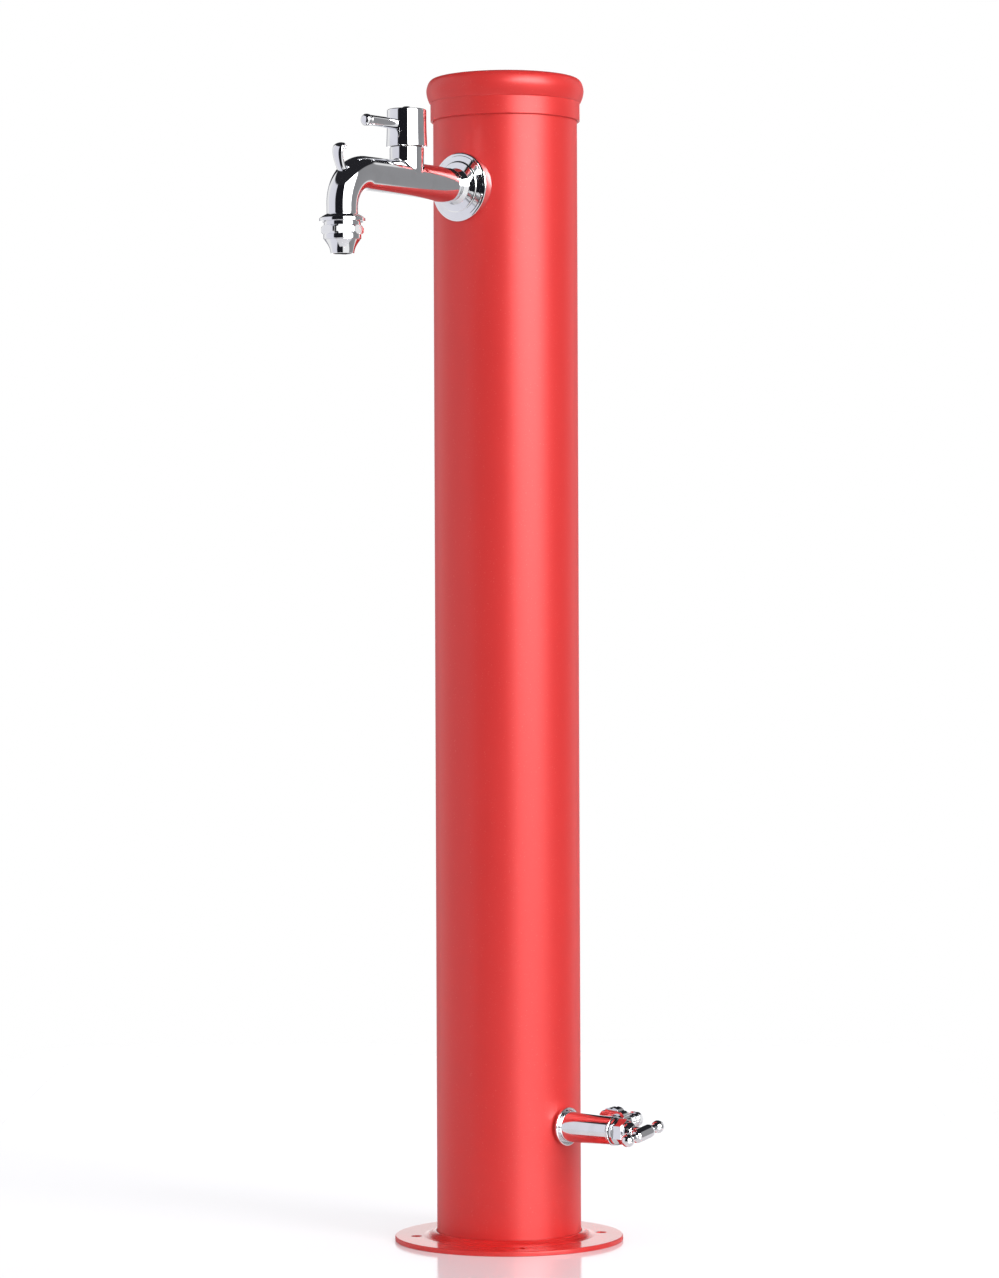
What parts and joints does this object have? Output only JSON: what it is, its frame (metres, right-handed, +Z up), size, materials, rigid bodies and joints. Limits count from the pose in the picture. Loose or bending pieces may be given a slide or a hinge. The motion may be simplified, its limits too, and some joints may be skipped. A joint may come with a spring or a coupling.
{
  "type": "garden tap column",
  "caption": "Free-standing painted tap column with round base plate and cap, a lever tap with bucket hook near the top and a small angle valve near the foot.",
  "frame": {"origin": "centre of the base plate's underside", "axes": "+Z up along the column, -Y the way the lever tap points, +X the way the angle valve points"},
  "size_m": [0.2396, 0.3215, 0.968],
  "materials": {
    "red_paint": "satin",
    "chrome": "polished",
    "brass": "turned",
    "steel": "zinc plated",
    "rubber": "matt",
    "pale_seal": "matt grey",
    "riser_plastic": "matt",
    "ceramic": "ground",
    "strainer_plastic": "matt"
  },
  "bodies": {
    "column": {"base_plate": "red_paint", "column_tube": "red_paint", "inlet_nipple": "brass", "supply_tee": "brass", "riser_pipe": "riser_plastic", "riser_elbow": "brass", "riser_nuts": "brass", "riser_ferrules": "brass", "upper_wall_gasket": "pale_seal", "upper_wall_washer": "steel", "upper_lock_nut": "brass", "upper_rosette": "chrome", "upper_tap_body": "chrome", "cartridge_seal": "rubber", "cartridge_housing": "brass", "cartridge_fixed_disc": "ceramic", "outlet_skirt": "chrome", "outlet_seal": "rubber", "outlet_strainer": "strainer_plastic", "outlet_nozzle": "chrome", "lower_wall_gasket": "pale_seal", "lower_wall_washer": "steel", "lower_lock_nut": "brass", "lower_rosette": "chrome", "lower_valve_body": "chrome", "lower_bonnet_seal": "rubber", "lower_bonnet": "chrome", "lower_gland_packing": "rubber", "lower_gland_nut": "chrome", "tail_seal": "rubber", "hose_tail": "chrome"},
    "cap": {"column_cap": "red_paint"},
    "lever": {"handle_cap": "chrome", "lever_rod": "chrome", "handle_button": "chrome", "cartridge_spindle": "brass", "cartridge_turning_disc": "ceramic"},
    "handle": {"lower_handle": "chrome", "lower_spindle": "chrome"},
    "piston": {"lower_piston": "brass", "lower_piston_washer": "rubber"},
    "union": {"union_nut": "chrome"}
  },
  "joints": [
    {"name": "cap_lift", "type": "slide", "parent": "column", "child": "cap", "axis": [0, 0, 1], "range_m": [0, 0.12]},
    {"name": "lever_turn", "type": "hinge", "parent": "column", "child": "lever", "pos_m": [0, -0.128, 0.9], "axis": [0, 0, 1], "range_deg": [0, 90]},
    {"name": "handle_turn", "type": "hinge", "parent": "column", "child": "handle", "pos_m": [0.139, 0, 0.0984], "axis": [1, 0, 0], "range_deg": [0, 720]},
    {"name": "piston_slide", "type": "slide", "parent": "column", "child": "piston", "axis": [1, 0, 0], "range_m": [0, 0.004]},
    {"name": "union_spin", "type": "hinge", "parent": "column", "child": "union", "pos_m": [0.098, 0.01991, 0.10032], "axis": [0, 0.9954, 0.0958], "continuous": true}
  ],
  "couplings": [
    {"joint": "piston_slide", "follows": "handle_turn", "m_per_rad": 0.00031831}
  ]
}
